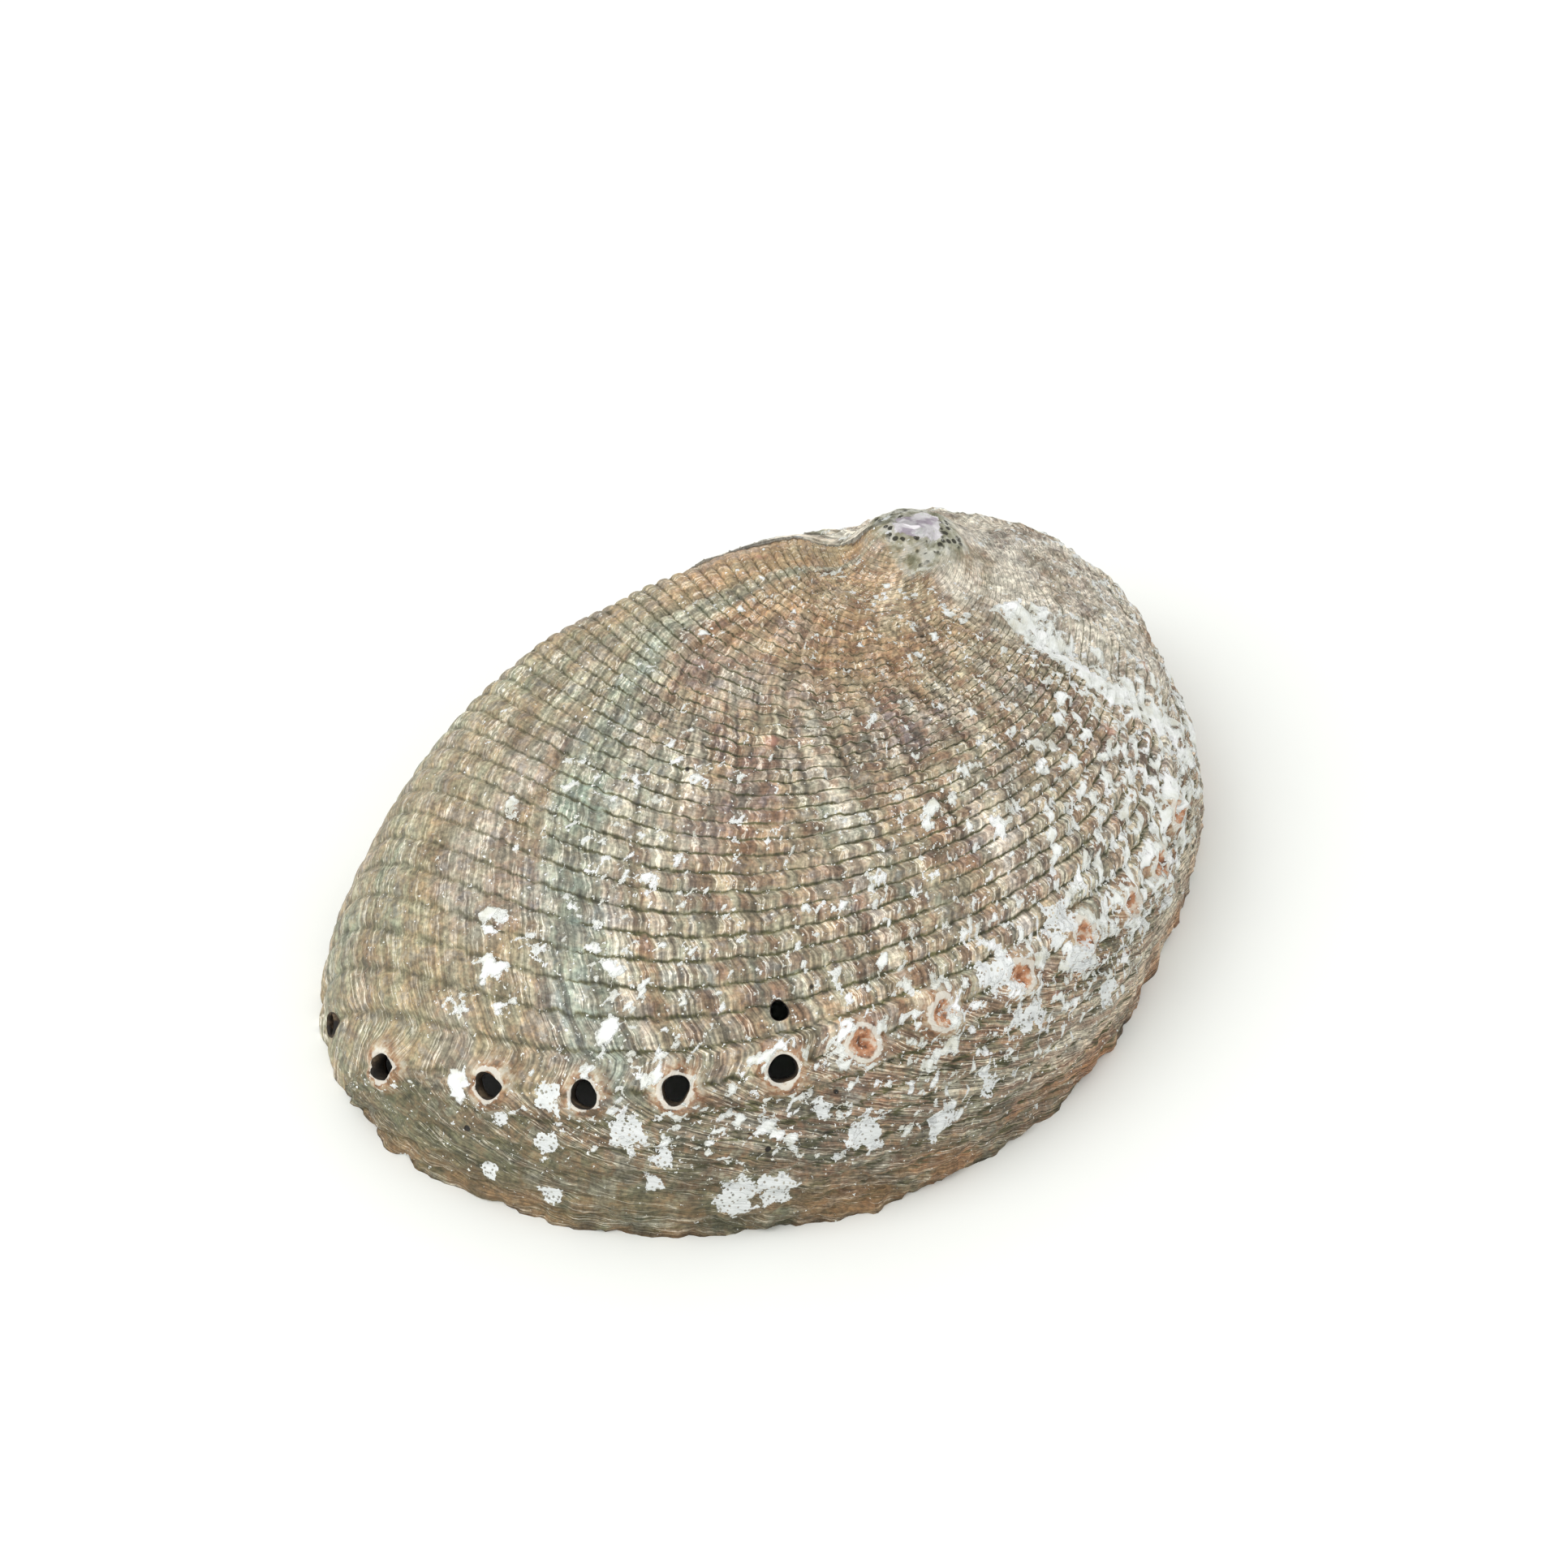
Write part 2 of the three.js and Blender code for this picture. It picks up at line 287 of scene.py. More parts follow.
def edge_ring(columns, share, height):
    """A ring on the flat edge, at a share of the way from the rim to the shelf's inner edge."""
    angle = ring_directions(columns)
    a = np.mod(angle - SHELF_START + math.pi / 4, math.tau) + SHELF_START - math.pi / 4
    begun = smooth(a, SHELF_START, SHELF_START + SHELF_EASE)
    ended = smooth(a, SHELF_END - SHELF_EASE, SHELF_END)
    width = LIP_EDGE + (SHELF - LIP_EDGE) * begun * (1 - ended)
    reach = rim_from_crown(angle) - width * share
    x, y = CROWN[:, None] + reach * np.stack([np.cos(angle), np.sin(angle)])
    return np.stack([x, y, np.full(columns, height)], 1)


def columns_at(q, most):
    """Columns halve towards the crown, so the cells stay even."""
    return most // (1 if q > 0.5 else 2 if q > 0.25 else 4 if q > 0.125 else 8)


def sheet_rings():
    """Rings of points from the crown outside to the crown inside, each with its region."""
    rings = []
    for row in range(1, OUTER_ROWS + 1):
        q = math.sin(row / OUTER_ROWS * math.pi / 2)
        rings.append((outer_ring(columns_at(q, RIM_COLUMNS), q), SKIN))
    for share, height in EDGE_STEPS:
        rings.append((edge_ring(INNER_COLUMNS, share, height), EDGE))
    rings.append((edge_ring(INNER_COLUMNS, SHELF_ROUNDING, SHELF_THICKNESS), PEARL))
    for row in range(INNER_ROWS, 0, -1):
        q = FOOT * math.sin(row / INNER_ROWS * math.pi / 2)
        rings.append((inner_ring(columns_at(q, INNER_COLUMNS), q), PEARL))
    return rings


def bridge(a, b, a_start, b_start):
    """Faces between two rings whose column counts are equal or in a whole ratio."""
    if a < b:
        return [face[::-1] for face in bridge(b, a, b_start, a_start)]
    ratio = a // b
    faces = []
    for j in range(b):
        inner = [b_start + (j + 1) % b, b_start + j]
        fan = [a_start + (j * ratio + k) % a for k in range(ratio + 1)]
        if ratio == 1:
            faces.append([*inner, *fan][::-1])
            continue
        half = ratio // 2
        faces += [[fan[k + 1], fan[k], inner[1]] for k in range(half)]
        faces.append([inner[0], fan[half], inner[1]])
        faces += [[fan[k + 1], fan[k], inner[0]] for k in range(half, ratio)]
    return faces


def sheet_mesh():
    rings = sheet_rings()
    points = [outer_ring(1, 0)]
    starts = []
    count = 1
    for ring, _ in rings:
        starts.append(count)
        points.append(ring)
        count += len(ring)
    points.append(inner_ring(1, 0))
    size = len(rings[0][0])
    faces = [[0, starts[0] + j, starts[0] + (j + 1) % size] for j in range(size)]
    regions = [SKIN] * size
    for i in range(len(rings) - 1):
        made = bridge(len(rings[i][0]), len(rings[i + 1][0]), starts[i], starts[i + 1])
        faces += made
        regions += [rings[i + 1][1]] * len(made)
    size = len(rings[-1][0])
    faces += [[count, starts[-1] + (j + 1) % size, starts[-1] + j] for j in range(size)]
    regions += [PEARL] * size
    place = np.concatenate(points) - [*MIDDLE, 0]
    mesh = bpy.data.meshes.new("abalone")
    mesh.from_pydata((place * MM).tolist(), [], faces)
    mesh.polygons.foreach_set("material_index", regions)
    return mesh


shell_mesh = sheet_mesh()
shell = bpy.data.objects.new("abalone", shell_mesh)
bpy.context.scene.collection.objects.link(shell)


# ---- the breathing holes ----
# Old holes fill up from inside as new ones open at the lip: five are open, seven older ones are
# closed lumps, the next is still a notch in the lip, and a drilling snail bored one more.
OPEN_HOLES = (180.2, 189.5, 197.1, 204, 212.3)
CLOSED_HOLES = (219.1, 227, 235.9, 245.7, 255.4, 265.1, 274.6)
NEW_HOLE = 171
HOLE_LENGTH = 2.2
HOLE_WIDTH = 2.2
BORED_HOLE = (-21.5, -20.8)
BORED_SIZE = 1.6
CUT_SIDES = 36
BORED_SEED = 6
NOTCH_SEED = 7
CUT_STEPS = (  # height over the skin, and width as a share of the hole's
    (-5, 1.6), (-2.0, 1.55), (-1.2, 1.3), (-0.7, 0.98), (-0.3, 0.98), (0.6, 1.3), (2.5, 2.3),
)
CUT_WAVES = ((2, 0.07, 1.7), (3, 0.05, 2.9))  # waves round a hole, their size, their shift per hole
NOTCH_INSET = HOLE_WIDTH / 4
SLOPE_STEP = 0.2


def row_place(degrees):
    turn = math.radians(degrees)
    return APEX + math.exp(row_log_radius(turn)) * np.array([math.cos(turn), math.sin(turn)])


def skin_axes(x, y):
    """Directions at a point of the skin: out of it, along the coil, and across."""
    d = SLOPE_STEP
    slope_x = (skin_height(x + d, y) - skin_height(x - d, y)) / (2 * d)
    slope_y = (skin_height(x, y + d) - skin_height(x, y - d)) / (2 * d)
    out = Vector((-slope_x, -slope_y, 1)).normalized()
    along = Vector((y - APEX[1], APEX[0] - x, 0))
    along = (along - out * along.dot(out)).normalized()
    return out, along, out.cross(along)


def hole_pin(place, length, width, seed):
    """Rings of a flared, slightly crooked oval pin through the wall."""
    out, along, across = (np.array(v) for v in skin_axes(*place))
    centre = np.array([*place, float(skin_height(*place))])
    turn = math.tau * np.arange(CUT_SIDES) / CUT_SIDES
    crooked = 1 + sum(size * np.sin(waves * turn + shift * seed) for waves, size, shift in CUT_WAVES)
    oval = np.outer(np.cos(turn) * crooked, along) * length / 2
    oval += np.outer(np.sin(turn) * crooked, across) * width / 2
    return [centre + out * depth + oval * flare for depth, flare in CUT_STEPS]


def pins_mesh(pins):
    points = []
    faces = []
    for rings in pins:
        start = len(points) * CUT_SIDES
        points += rings
        faces.append([start + j for j in reversed(range(CUT_SIDES))])
        for i in range(len(rings) - 1):
            for j in range(CUT_SIDES):
                low = start + i * CUT_SIDES
                k = (j + 1) % CUT_SIDES
                faces.append([low + j, low + k, low + CUT_SIDES + k, low + CUT_SIDES + j])
        faces.append([start + (len(rings) - 1) * CUT_SIDES + j for j in range(CUT_SIDES)])
    mesh = bpy.data.meshes.new("pins")
    mesh.from_pydata(((np.concatenate(points) - [*MIDDLE, 0]) * MM).tolist(), [], faces)
    return mesh


open_places = [row_place(degrees) for degrees in OPEN_HOLES]
closed_places = [row_place(degrees) for degrees in CLOSED_HOLES]
lip_direction = math.radians(NEW_HOLE)
lip_reach = float(rim_from_apex(lip_direction)) - NOTCH_INSET
notch_place = APEX + lip_reach * np.array([math.cos(lip_direction), math.sin(lip_direction)])
pins = [hole_pin(place, HOLE_LENGTH, HOLE_WIDTH, i) for i, place in enumerate(open_places)]
pins.append(hole_pin(BORED_HOLE, BORED_SIZE, BORED_SIZE, BORED_SEED))
pins.append(hole_pin(notch_place, HOLE_WIDTH, HOLE_WIDTH, NOTCH_SEED))
drill = bpy.data.objects.new("drill", pins_mesh(pins))
bpy.context.scene.collection.objects.link(drill)

FINISHES = ("weathered_skin", "mother_of_pearl", "rim_edge", "shaded_hole_wall")
finishes = [bpy.data.materials.new(name) for name in FINISHES]
for finish in finishes:
    finish.use_nodes = True
    shell.data.materials.append(finish)
    drill.data.materials.append(finish)
drill.data.polygons.foreach_set("material_index", [BORE] * len(drill.data.polygons))

cut = shell.modifiers.new("holes", "BOOLEAN")
cut.operation = "DIFFERENCE"
cut.solver = "EXACT"
cut.object = drill


def settle(piece):
    """Turns a piece's modifiers into plain mesh."""
    graph = bpy.context.evaluated_depsgraph_get()
    made = bpy.data.meshes.new_from_object(piece.evaluated_get(graph))
    piece.modifiers.clear()
    piece.data = made


settle(shell)
bpy.data.objects.remove(drill)

# ---- what each point of the shell knows ----
# The cords, growth lines, hole rims, worn spire and lime crust all follow the coil, so each point
# carries its place in the coil and how much of each it has.
HOLE_RIM = 1.25
OPEN_RIMS = ((0.75, HOLE_RIM + 0.15, 0.95), (0.35, HOLE_RIM, 2.4))  # height, distance, width
CLOSED_RIMS = ((0.6, HOLE_RIM, 0.75), (0.4, 0, 2.3), (-0.25, 0, 0.8))
BORED_RIMS = ((0.12, 0.9, 0.4),)
PAUSES = (  # ages of the marked growth lines, in degrees behind the lip, and how wide they are
    (23.6, 0.5), (33.5, 0.5), (37.5, 0.4), (44, 0.6), (52, 0.5), (57, 0.8), (66, 0.6), (74, 0.9),
    (82, 0.6), (91, 0.9), (99, 1.2), (107, 0.8),
)
PAUSE_DEPTH = 0.25
OLD_FOLDS = ((-0.7, 120, 6), (0.3, 136, 9))  # height, age, width
SUTURE_ROW = -2.6
SUTURE_LINE_DEPTH = 0.5
SUTURE_LINE_WIDTH = 0.14
MARGIN_TUCK = 0.25
SPIRE_TUCK = 0.12
CRUSTS = (  # patches: direction from the apex, distance outside the row, half width, how thick
    (227, -16.0, 1.1, 0.72), (226, -14.6, 1.0, 0.72), (222, -18.5, 0.9, 0.6), (175, -20, 1.8, 0.48),
    (182, -10.5, 1.8, 0.58), (185, -7.3, 2.0, 0.58), (187, -9.6, 1.6, 0.56), (176, -25.4, 1.4, 0.44),
    (194, -15.9, 2.0, 0.54), (195, -8.8, 2.4, 0.57), (183, -30.8, 1.3, 0.44), (190, -53, 2.2, 0.38),
    (218, -12.5, 2.4, 0.42), (184, -25.8, 2.6, 0.44), (192, -27, 2.0, 0.44), (238, -10.5, 2.6, 0.44),
    (187, 0.2, 1.5, 0.9), (202, -1.3, 1.2, 0.6), (210, -0.9, 1.3, 0.7), (217, -0.8, 1.3, 0.6),
    (252, -6.6, 3.0, 0.44), (262, -9.0, 3.0, 0.46), (268, -4.0, 2.6, 0.54), (244, -5.0, 2.5, 0.42),
    (184, -4.5, 1.4, 0.58), (188, -5.0, 1.5, 0.56), (197, -4.0, 1.8, 0.56), (206, -20, 2.0, 0.40),
)
MATS = (  # net-like sea mats: direction, distance outside the row, half width
    (194, 0.2, 1.7), (191, 1.6, 0.9), (195, 2.5, 1.2), (201, 2.1, 1.8), (204, 4.4, 1.0),
    (196, 4.1, 1.3), (210, 5.2, 2.2), (213, 5.3, 2.0), (204, 3.5, 1.1), (191, 3.4, 1.0),
    (233, -0.7, 1.9), (237, 2.3, 1.9), (243, -1.6, 2.1), (245, 0.9, 1.7), (220, 4.6, 2.1),
    (227, 5.0, 1.8), (249, 2.6, 1.6), (183, 3.0, 0.9), (216, 2.8, 1.2), (232, 4.2, 1.2),
)
STOP_CRUST = 0.72
STOP_CRUST_TURN = 276
STOP_CRUST_LEAN = 14
CRUST_AGES = (0, 16, 24, 31, 40, 60, 80, 96, 106, 120, 150)
CRUST_AMOUNTS = (0.0, 0.07, 0.19, 0.28, 0.21, 0.26, 0.33, 0.35, 0.42, 0.33, 0.22)
CLEAN_LIP = 9
SLOPE_REACH = 0.05


def off_row_place(degrees, outside):
    """A point at a distance outside the hole row, in a direction from the apex."""
    arm = row_place(degrees) - APEX
    return APEX + arm * (1 + outside / math.hypot(*arm))


def hole_distances(points, places):
    """Distance from each point to the nearest of some places on the skin."""
    centres = np.array([[*place, float(skin_height(*place))] for place in places])
    return np.min([np.linalg.norm(points - centre, axis=1) for centre in centres], axis=0)


def dome_reach(x, y, z):
    """Grows outwards through the dome's surface."""
    radius, angle = polar(x, y, CROWN)
    fullness, steepness = dome_shape(angle)
    share = radius / rim_from_crown(angle)
    return share**fullness + (np.maximum(z, 0) / DOME_HEIGHT) ** (1 / steepness)


def out_directions(x, y, z):
    """Unit vectors out of the dome, level at the rim."""
    d = SLOPE_REACH
    slope = np.stack([
        dome_reach(x + d, y, z) - dome_reach(x - d, y, z),
        dome_reach(x, y + d, z) - dome_reach(x, y - d, z),
        dome_reach(x, y, z + d) - dome_reach(x, y, z - d),
    ], 1)
    slope /= np.linalg.norm(slope, axis=1, keepdims=True) + TINY**2
    slope[:, 2] *= np.clip(z / 1.5, 0, 1)
    return slope


def shell_points():
    places = np.empty(len(shell.data.vertices) * 3, np.float32)
    shell.data.vertices.foreach_get("co", places)
    return places.reshape(-1, 3).astype(float) / MM + [*MIDDLE, 0]


def skin_mask():
    """1 at the points of the outer skin."""
    mask = np.zeros(len(shell.data.vertices))
    for face in shell.data.polygons:
        if face.material_index == SKIN:
            mask[face.vertices] = 1
    return mask


def store(name, values, kind="FLOAT"):
    stored = shell.data.attributes.new(name, kind, "POINT")
    key = "vector" if kind == "FLOAT_VECTOR" else "value"
    stored.data.foreach_set(key, values.astype(np.float32).ravel())


def bumps(value, table):
    """A sum of bell curves, each given by its height, middle and width."""
    return sum(height * bell(value, middle, width) for height, middle, width in table)


def patches(places):
    """How deep a point is inside the nearest of several round patches."""
    depth = np.zeros(len(points))
    for turn, outside, radius, *amount in places:
        far = hole_distances(points, [off_row_place(turn, outside)])
        depth = np.maximum(depth, (amount[0] if amount else 1) * bell(far, 0, radius))
    return depth


points = shell_points()
x, y, z = points.T
marks = growth_marks(x, y, z)
row, below, radius, turn = (marks[name] for name in ("row", "below", "radius", "turn"))
age = np.interp(marks["growth"], row_lengths, np.degrees(row_turns) - LIP_END)
open_far = hole_distances(points, open_places)
closed_far = hole_distances(points, closed_places)
bored_far = hole_distances(points, [BORED_HOLE])

worn = 1 - smooth(radius, 3.5, 11)
worn = np.maximum(worn, 0.8 * (1 - smooth(marks["seam"], 2, 14)))
pauses = sum(bell(age, pause, width) for pause, width in PAUSES)
pauses = pauses * smooth(radius, 5, 12) * (1 - smooth(below, 0.1, 0.5))
suture = bell(row, SUTURE_ROW, SUTURE_LINE_WIDTH)
suture *= 1 - smooth(turn, math.radians(230), math.radians(330))

raised = bumps(open_far, OPEN_RIMS) + bumps(closed_far, CLOSED_RIMS) + bumps(bored_far, BORED_RIMS)
raised += bumps(age, OLD_FOLDS) * smooth(radius, 9, 16)
raised -= PAUSE_DEPTH * pauses + SUTURE_LINE_DEPTH * suture
raised *= smooth(z, 0, 2)
raised -= MARGIN_TUCK * smooth(below, 0.6, 0.9)
raised -= SPIRE_TUCK * (1 - smooth(radius, 3, 7))

stop_line = np.degrees(turn) - STOP_CRUST_TURN - STOP_CRUST_LEAN * smooth(row, -0.5, 0.1)
stop_far = np.radians(stop_line) * radius
stop_crust = STOP_CRUST * bell(np.minimum(stop_far, 0), 0, 1.8)
stop_crust *= bell(np.maximum(stop_far, 0), 0, 4.0)
stop_crust *= smooth(radius, 6, 13) * (1 - smooth(below, 0.1, 0.4))
crust = np.interp(age, CRUST_AGES, CRUST_AMOUNTS)
crust *= 1 - 0.3 * smooth(-row, 0.4, 0.7)
crust += 0.10 * bell(below, 0.3, 0.25)
crust *= 1 - 0.45 * smooth(below, 0.5, 0.7)
crust += 0.05 * bell(open_far, 2.3, 1.3) + 0.12 * bell(closed_far, 2.2, 1.4)
crust = np.maximum(np.maximum(crust, patches(CRUSTS)), stop_crust)
crust *= smooth(marks["growth"], 0, CLEAN_LIP) * 0.8 + 0.2

lumpy = 0.12 + 0.55 * bell(row, 0, 0.25) + 0.45 * smooth(below, 0.0, 0.12)
lumpy += 0.9 * smooth(below, 0.7, 0.95) * (1 - smooth(age, 10, 45))

store("out", out_directions(x, y, z), "FLOAT_VECTOR")
for name, values in {
    "skin": skin_mask(), "cord": marks["cord"], "growth": marks["growth"], "row": row,
    "below": below, "age": age, "spire": radius, "worn": worn, "raised": raised, "lumpy": lumpy,
    "crust": crust, "open_hole": open_far, "closed_hole": closed_far, "mats": patches(MATS),
    "pause": pauses,
}.items():
    store(name, values)

# ---- relief ----
# Rounded cords with narrow grooves between them, crossed by growth ridges that bow over each cord,
# and a thin broken layer of lime crust on top. The ridges are thicker where the shell is older.


def wire(tree, target, value):
    """Feeds a socket from another one, or sets its own value."""
    if isinstance(value, bpy.types.NodeSocket):
        tree.links.new(value, target)
    else:
        target.default_value = value


def node(tree, kind, inputs, **settings):
    made = tree.nodes.new(kind)
    for name, value in settings.items():
        setattr(made, name, value)
    for key, value in inputs.items():
        wire(tree, made.inputs[key], value)
    return made


def calc(tree, operation, *values):
    return node(tree, "ShaderNodeMath", dict(enumerate(values)), operation=operation).outputs[0]


def times(tree, value, *factors):
    for factor in factors:
        value = calc(tree, "MULTIPLY", value, factor)
    return value


def linear(tree, value, slope, start):
    return calc(tree, "MULTIPLY_ADD", value, slope, start)


def less(tree, value, amount=0.5):
    return calc(tree, "SUBTRACT", value, amount)


def rest(tree, share):
    return calc(tree, "SUBTRACT", 1.0, share)


def away(tree, value, middle):
    return calc(tree, "ABSOLUTE", less(tree, value, middle))


def step(tree, value, low, high):
    """0 below low, 1 above high, and an S between."""
    inputs = {"Value": value, "From Min": low, "From Max": high}
    return node(tree, "ShaderNodeMapRange", inputs, interpolation_type="SMOOTHSTEP").outputs[0]


def noise(tree, vector, scale=1.0, detail=2.0, roughness=0.5):
    inputs = {"Vector": vector, "Scale": scale, "Detail": detail, "Roughness": roughness}
    return node(tree, "ShaderNodeTexNoise", inputs).outputs[0]


def vector_of(tree, x, y, z=0.0):
    return node(tree, "ShaderNodeCombineXYZ", {"X": x, "Y": y, "Z": z}).outputs[0]


def groove_of(tree, cord):
    """1 in the groove between two cords, 0 on the crest."""
    share = calc(tree, "FRACT", calc(tree, "ADD", cord, 1000.0))
    return calc(tree, "ABSOLUTE", linear(tree, share, 2.0, -1.0))


def even_noise(tree, growth, cord, row, per_mm, seed=11.0, detail=1.5):
    """Noise along old lips, kept equally close where the lines run together near the spire."""
    level = calc(tree, "MAXIMUM", calc(tree, "DIVIDE", row, -math.log(2)), 0.0)
    whole = calc(tree, "FLOOR", level)
    layers = []
    for extra in (0.0, 1.0):
        power = calc(tree, "POWER", 0.5, calc(tree, "ADD", whole, extra))
        along = times(tree, growth, per_mm, power)
        layers.append(noise(tree, vector_of(tree, along, cord, seed), 1.0, detail, 0.6))
    difference = calc(tree, "SUBTRACT", layers[1], layers[0])
    return linear(tree, difference, calc(tree, "FRACT", level), layers[0])


RELIEF_INPUTS = {
    "Cord height": 0.42, "Groove sharpness": 3.0, "Ridge height": 0.66, "Ridge spacing": 1.25,
    "Ridge bow": 0.35, "Fold height": 1.8, "Lump height": 1.3, "Crust height": 0.13,
    "Skin inset": 0.68, "Seed": 4.0,
}
FOLD_SEED = 7.0
CRUST_SEED = 3.0


def named(tree, name, kind="FLOAT"):
    made = node(tree, "GeometryNodeInputNamedAttribute", {"Name": name}, data_type=kind)
    return made.outputs["Attribute"]


def cord_height(tree, given):
    """Rounded cords with narrow grooves, fading out on the worn spire."""
    groove = groove_of(tree, named(tree, "cord"))
    sharp = calc(tree, "POWER", groove, given["Groove sharpness"])
    cut = times(tree, sharp, rest(tree, named(tree, "worn")))
    return times(tree, rest(tree, cut), given["Cord height"])


def bowed_growth(tree, given):
    groove = groove_of(tree, named(tree, "cord"))
    return linear(tree, groove, given["Ridge bow"], named(tree, "growth"))


def ridge_height(tree, given):
    """Growth ridges, and wider folds under them."""
    per_mm = calc(tree, "DIVIDE", 1.0, given["Ridge spacing"])
    row = named(tree, "row")
    slow = times(tree, named(tree, "cord"), 0.16)
    fine = even_noise(tree, bowed_growth(tree, given), slow, row, per_mm, given["Seed"])
    wide = times(tree, per_mm, 0.3)
    folds = even_noise(tree, named(tree, "growth"), times(tree, slow, 0.5), row, wide, FOLD_SEED, 1.0)
    ridge = linear(tree, less(tree, folds), given["Fold height"], less(tree, fine))
    return times(tree, ridge, given["Ridge height"])


def lump_height(tree, given, place):
    lumps = less(tree, noise(tree, place, 330.0, 4.0, 0.6))
    return times(tree, lumps, given["Lump height"], named(tree, "lumpy"))


def crust_level(tree, given, place):
    """How much crust there is, broken up by islands and drawn out along the growth lines."""
    islands = less(tree, noise(tree, place, 800.0, 4.0, 0.65))
    bowed = bowed_growth(tree, given)
    cord, row = named(tree, "cord"), named(tree, "row")
    drawn = less(tree, even_noise(tree, bowed, cord, row, 1.1, CRUST_SEED, 3.0))
    return linear(tree, drawn, 1.2, linear(tree, islands, 1.8, named(tree, "crust")))


def set_finishes(tree, geometry):
    index = tree.nodes.new("GeometryNodeInputMaterialIndex").outputs[0]
    for number, finish in enumerate(finishes):
        chosen = node(tree, "FunctionNodeCompare", {2: index, 3: number}, data_type="INT", operation="EQUAL")
        inputs = {"Geometry": geometry, "Selection": chosen.outputs[0], "Material": finish}
        geometry = node(tree, "GeometryNodeSetMaterial", inputs).outputs[0]
    return geometry


def relief_tree():
    tree = bpy.data.node_groups.new("relief", "GeometryNodeTree")
    tree.interface.new_socket("Geometry", in_out="INPUT", socket_type="NodeSocketGeometry")
    tree.interface.new_socket("Geometry", in_out="OUTPUT", socket_type="NodeSocketGeometry")
    for name in RELIEF_INPUTS:
        tree.interface.new_socket(name, in_out="INPUT", socket_type="NodeSocketFloat")
    given = tree.nodes.new("NodeGroupInput").outputs
    place = tree.nodes.new("GeometryNodeInputPosition").outputs[0]

    level = crust_level(tree, given, place)
    layer = times(tree, step(tree, level, 0.42, 0.52), given["Crust height"])
    height = calc(tree, "ADD", cord_height(tree, given), ridge_height(tree, given))
    for more in (layer, named(tree, "raised"), lump_height(tree, given, place)):
        height = calc(tree, "ADD", height, more)
    height = times(tree, less(tree, height, given["Skin inset"]), named(tree, "skin"), MM)

    offset = node(tree, "ShaderNodeVectorMath", {
        0: named(tree, "out", "FLOAT_VECTOR"), "Scale": height,
    }, operation="SCALE").outputs[0]
    moved = node(tree, "GeometryNodeSetPosition", {"Geometry": given["Geometry"], "Offset": offset})
    kept = node(tree, "GeometryNodeStoreNamedAttribute", {
        "Geometry": moved.outputs[0], "Name": "crust_level", "Value": level,
    }, data_type="FLOAT", domain="POINT")
    made = node(tree, "GeometryNodeRealizeInstances", {"Geometry": kept.outputs[0]}).outputs[0]
    tree.links.new(set_finishes(tree, made), tree.nodes.new("NodeGroupOutput").inputs[0])
    return tree


carve = shell.modifiers.new("relief", "NODES")
carve.node_group = relief_tree()
for socket in carve.node_group.interface.items_tree:
    if socket.name in RELIEF_INPUTS:
        carve[socket.identifier] = RELIEF_INPUTS[socket.name]
settle(shell)
for face in shell.data.polygons:
    face.use_smooth = True

# ---- the weathered skin ----
# Chalky outer shell: brown and olive blocks on the cords, patches of dark olive at the bottom of the
# grooves, teal and rust growth bands, and a broken white crust of lime and sea mats, thickest at the growth
# stop.


def paint(code):
    """A colour from its usual six-digit code, as the linear values that shaders take."""
    parts = [int(code[i:i + 2], 16) / 255 for i in (0, 2, 4)]
    return (*(c / 12.92 if c <= 0.04045 else ((c + 0.055) / 1.055) ** 2.4 for c in parts), 1.0)


def blend(tree, share, a, b):
    inputs = {0: share, 6: a, 7: b}
    return node(tree, "ShaderNodeMix", inputs, data_type="RGBA", blend_type="MIX").outputs[2]


def tint(tree, share, ground, code):
    return blend(tree, share, ground, paint(code))


def ramp(tree, value, stops):
    made = node(tree, "ShaderNodeValToRGB", {0: value})
    scale = made.color_ramp
    while len(scale.elements) < len(stops):
        scale.elements.new(0.5)
    for element, (place, code) in zip(scale.elements, stops):
        element.position = place
        element.color = paint(code)
    return made.outputs[0]


def attribute(tree, name):
    return node(tree, "ShaderNodeAttribute", {}, attribute_name=name).outputs["Fac"]


def object_place(tree):
    return tree.nodes.new("ShaderNodeTexCoord").outputs["Object"]


def group(name, inputs, outputs):
    """An empty shader group with float sockets, and its given values."""
    tree = bpy.data.node_groups.new(name, "ShaderNodeTree")
    for socket in inputs:
        tree.interface.new_socket(socket, in_out="INPUT", socket_type="NodeSocketFloat")
    for socket in outputs:
        tree.interface.new_socket(socket, in_out="OUTPUT", socket_type="NodeSocketFloat")
    return tree, tree.nodes.new("NodeGroupInput").outputs, tree.nodes.new("NodeGroupOutput").inputs


def place_group(tree, inner, inputs):
    made = tree.nodes.new("ShaderNodeGroup")
    made.node_tree = inner
    for key, value in inputs.items():
        wire(tree, made.inputs[key], value)
    return made.outputs


def growth_line_group():
    """Fine lines along old lips."""
    names = ("Growth", "Cord", "Row", "Lines per mm")
    tree, given, out = group("growth_lines", names, ("Lines",))
    wire(tree, out["Lines"], even_noise(tree, *(given[name] for name in names)))
    return tree


